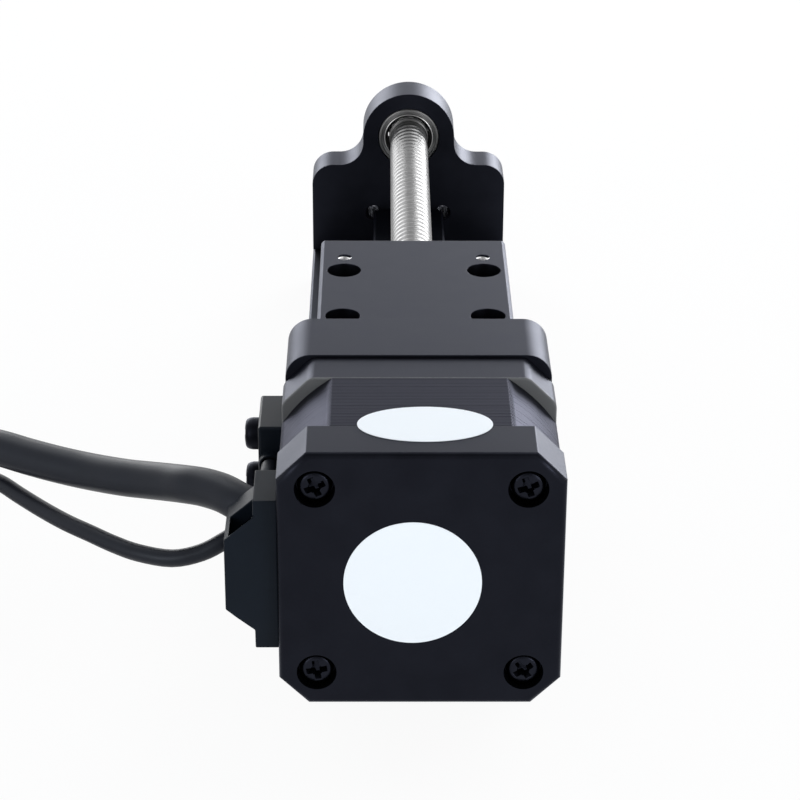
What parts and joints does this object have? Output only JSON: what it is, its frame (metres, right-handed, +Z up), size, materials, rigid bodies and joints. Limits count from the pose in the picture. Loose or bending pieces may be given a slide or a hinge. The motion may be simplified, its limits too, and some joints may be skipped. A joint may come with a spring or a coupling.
{
  "type": "ball screw linear module",
  "caption": "Compact linear module: stepper motor turning a ball screw, slide table on a profile rail, end bearing block, motor and sensor cables.",
  "frame": {"origin": "centre of the four mounting holes on the base plate's underside, under the screw's axis", "axes": "+Y along the screw away from the motor, +Z up from the mounting face, +X to the right seen from the motor"},
  "size_m": [0.1944, 0.1991, 0.0576],
  "materials": {
    "anodised": "black anodised aluminium, fine satin",
    "rail_steel": "ground rail steel",
    "block_steel": "ground block steel",
    "cap_plastic": "moulded end cap",
    "black_screw": "black oxide",
    "nut_steel": "ground bearing steel",
    "ball_steel": "polished balls",
    "screw_steel": "ground and polished",
    "bearing_steel": "ground bearing steel",
    "spring_steel": "spring steel",
    "bell_paint": "black satin paint on cast aluminium",
    "lamination": "black coated silicon steel",
    "magnet": "sintered magnet",
    "copper": "enamelled copper wire",
    "label": "blank white sticker",
    "boot_plastic": "moulded nylon",
    "sensor_plastic": "moulded plastic",
    "cable_jacket": "soft cable jacket",
    "plug_plastic": "moulded nylon"
  },
  "bodies": {
    "base": {"base_plate": "anodised", "guide_rail": "rail_steel", "rail_screws": "black_screw", "mount_block": "anodised", "end_block": "anodised", "block_screws": "black_screw", "end_bearing_outer_ring": "bearing_steel", "end_bearing_shields": "bearing_steel", "motor_front_bell": "bell_paint", "stator_core": "lamination", "stator_coils": "copper", "motor_bearing_outer_rings": "bearing_steel", "wave_washer": "spring_steel", "motor_rear_bell": "bell_paint", "motor_through_screws": "black_screw", "motor_mounting_screws": "black_screw", "round_label": "label", "oval_label": "label", "cable_boot": "boot_plastic", "motor_cable": "cable_jacket", "motor_cable_coil": "cable_jacket", "motor_cable_tail": "cable_jacket", "motor_connector": "plug_plastic", "home_sensor": "sensor_plastic", "sensor_screws": "black_screw", "sensor_cable": "cable_jacket", "sensor_cable_coil": "cable_jacket", "sensor_cable_tail": "cable_jacket", "sensor_connector": "plug_plastic"},
    "table": {"slide_table": "anodised", "table_screws": "black_screw", "rail_block": "block_steel", "rail_block_end_caps": "cap_plastic", "rail_block_balls": "ball_steel", "ball_nut": "nut_steel", "nut_screws": "black_screw", "nut_balls": "ball_steel"},
    "screw": {"ball_screw": "screw_steel", "rotor_cups": "lamination", "rotor_magnet": "magnet", "end_bearing_inner_ring": "bearing_steel", "end_bearing_balls": "ball_steel", "motor_bearing_inner_rings": "bearing_steel", "motor_bearing_balls": "ball_steel", "retaining_ring": "spring_steel"}
  },
  "joints": [
    {"name": "screw_turn", "type": "hinge", "parent": "base", "child": "screw", "pos_m": [0, 0, 0.036], "axis": [0, 1, 0], "range_deg": [-14590, 1160]},
    {"name": "table_slide", "type": "slide", "parent": "base", "child": "table", "axis": [0, 1, 0], "range_m": [-0.0064, 0.081]}
  ],
  "couplings": [
    {"joint": "screw_turn", "follows": "table_slide", "rad_per_m": -3141.6}
  ]
}
